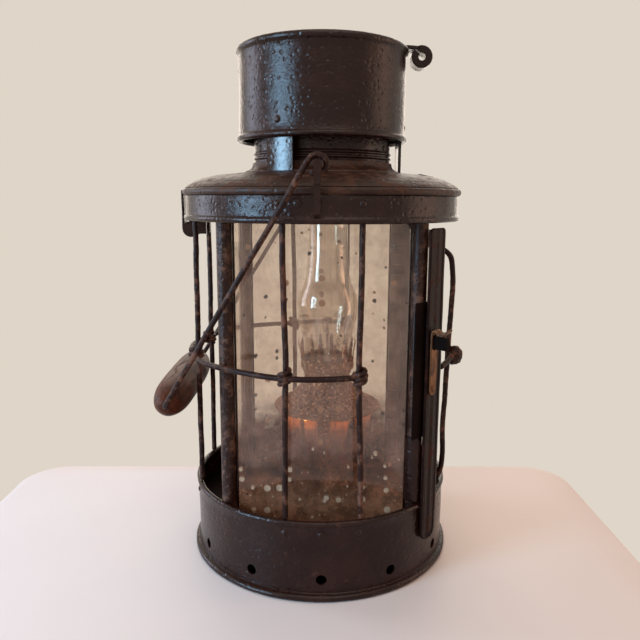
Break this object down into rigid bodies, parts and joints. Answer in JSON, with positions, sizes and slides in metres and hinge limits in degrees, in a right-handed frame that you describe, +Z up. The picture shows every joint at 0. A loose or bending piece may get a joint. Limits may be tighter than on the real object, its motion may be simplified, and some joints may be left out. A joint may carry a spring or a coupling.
{
  "type": "lantern",
  "caption": "Round sheet-iron trench lantern with guarded glass panes, side door, wire bail with wooden grip, hooded top and copper oil lamp",
  "frame": {"origin": "centre of the flat underside of the base, on the surface that the lantern stands on", "axes": "+Z up through the hood; +X towards the door; -Y is the front window; the bail hangs on the -X side at rest"},
  "size_m": [0.1851, 0.1838, 0.3076],
  "materials": {
    "iron_paint": "worn dark brown-black paint over sheet iron, pitted, with rust showing through",
    "iron_bare": "dull rust-brown sheet iron, unpainted or burnt off",
    "iron_wire": "dark oxidised iron wire",
    "glass": "old flat window glass with a brown haze and specks",
    "copper": "dull copper with brown patina",
    "brass": "aged brass, brown in the hollows",
    "wood": "turned hardwood, reddish brown, polished by hands, with a dark crack",
    "cotton": "woven cotton wick"
  },
  "bodies": {
    "body": {"base_shell": "iron_paint", "base_floor": "iron_bare", "base_rivets": "iron_paint", "lamp_deck": "iron_bare", "post_front_left": "iron_paint", "post_front_right": "iron_paint", "post_back_left": "iron_paint", "post_back_right": "iron_paint", "post_sleeve": "iron_paint", "window_gusset": "iron_paint", "front_glass": "glass", "left_glass": "glass", "back_glass": "glass", "crown_plate": "iron_bare", "canopy_band": "iron_paint", "band_rivets": "iron_paint", "bail_lug_front": "iron_paint", "bail_lug_back": "iron_paint", "guard_wire_front_left": "iron_wire", "guard_wire_front_right": "iron_wire", "guard_wire_left_front": "iron_wire", "guard_wire_left_back": "iron_wire", "guard_wire_back_left": "iron_wire", "guard_wire_back_right": "iron_wire", "guard_ring": "iron_wire", "lid_hinge_ears": "iron_paint", "lid_hinge_pin": "iron_paint", "door_hinge_arms": "iron_paint", "door_hinge_pins": "iron_paint", "catch_keeper": "iron_paint", "lamp_holder": "iron_bare", "font": "copper", "font_ring": "iron_wire", "burner_cone": "brass", "air_tube": "brass", "wick_tube": "brass", "gallery": "brass", "flame_spreader": "brass", "chimney": "glass"},
    "top": {"lid": "iron_paint", "lid_strap": "iron_paint", "lid_tab": "iron_paint", "neck": "iron_paint", "neck_rivets": "iron_paint", "hood": "iron_paint", "hood_cap": "iron_bare", "hood_stays": "iron_paint", "hood_rivets": "iron_paint", "lift_loop": "iron_paint"},
    "door": {"door_frame": "iron_paint", "door_hinge_leaves": "iron_paint", "door_glass": "glass", "door_guard_wires": "iron_wire", "door_cross_wire": "iron_wire"},
    "catch": {"catch_spring": "brass", "catch_rivet": "brass"},
    "bail": {"bail_wire": "iron_wire"},
    "grip": {"bail_grip": "wood"},
    "wick": {"wick": "cotton"},
    "winder": {"wick_winder": "brass"}
  },
  "joints": [
    {"name": "top_swing", "type": "hinge", "parent": "body", "child": "top", "pos_m": [-0.07975, 0, 0.2012], "axis": [0, -1, 0], "range_deg": [0, 100]},
    {"name": "door_swing", "type": "hinge", "parent": "body", "child": "door", "pos_m": [0.05318, 0.06451, 0.12], "axis": [0, 0, 1], "range_deg": [0, 140]},
    {"name": "catch_flex", "type": "hinge", "parent": "door", "child": "catch", "pos_m": [0.06141, -0.05434, 0.111], "axis": [0.6626, 0.749, 0], "range_deg": [0, 22], "stiffness_Nm_per_rad": 0.15},
    {"name": "bail_swing", "type": "hinge", "parent": "body", "child": "bail", "pos_m": [-0.003, 0, 0.2352], "axis": [0, 1, 0], "range_deg": [0, 245]},
    {"name": "grip_spin", "type": "hinge", "parent": "bail", "child": "grip", "pos_m": [-0.08776, 0, 0.1044], "axis": [0, 1, 0], "continuous": true},
    {"name": "wick_turn", "type": "hinge", "parent": "body", "child": "winder", "pos_m": [0.01377, 0.00356, 0.09605], "axis": [-0.342, 0.9397, 0], "range_deg": [-125, 148]},
    {"name": "wick_lift", "type": "slide", "parent": "body", "child": "wick", "axis": [0, 0, 1], "range_m": [-0.005, 0.006]}
  ],
  "couplings": [
    {"joint": "wick_turn", "follows": "wick_lift", "rad_per_m": 400}
  ]
}
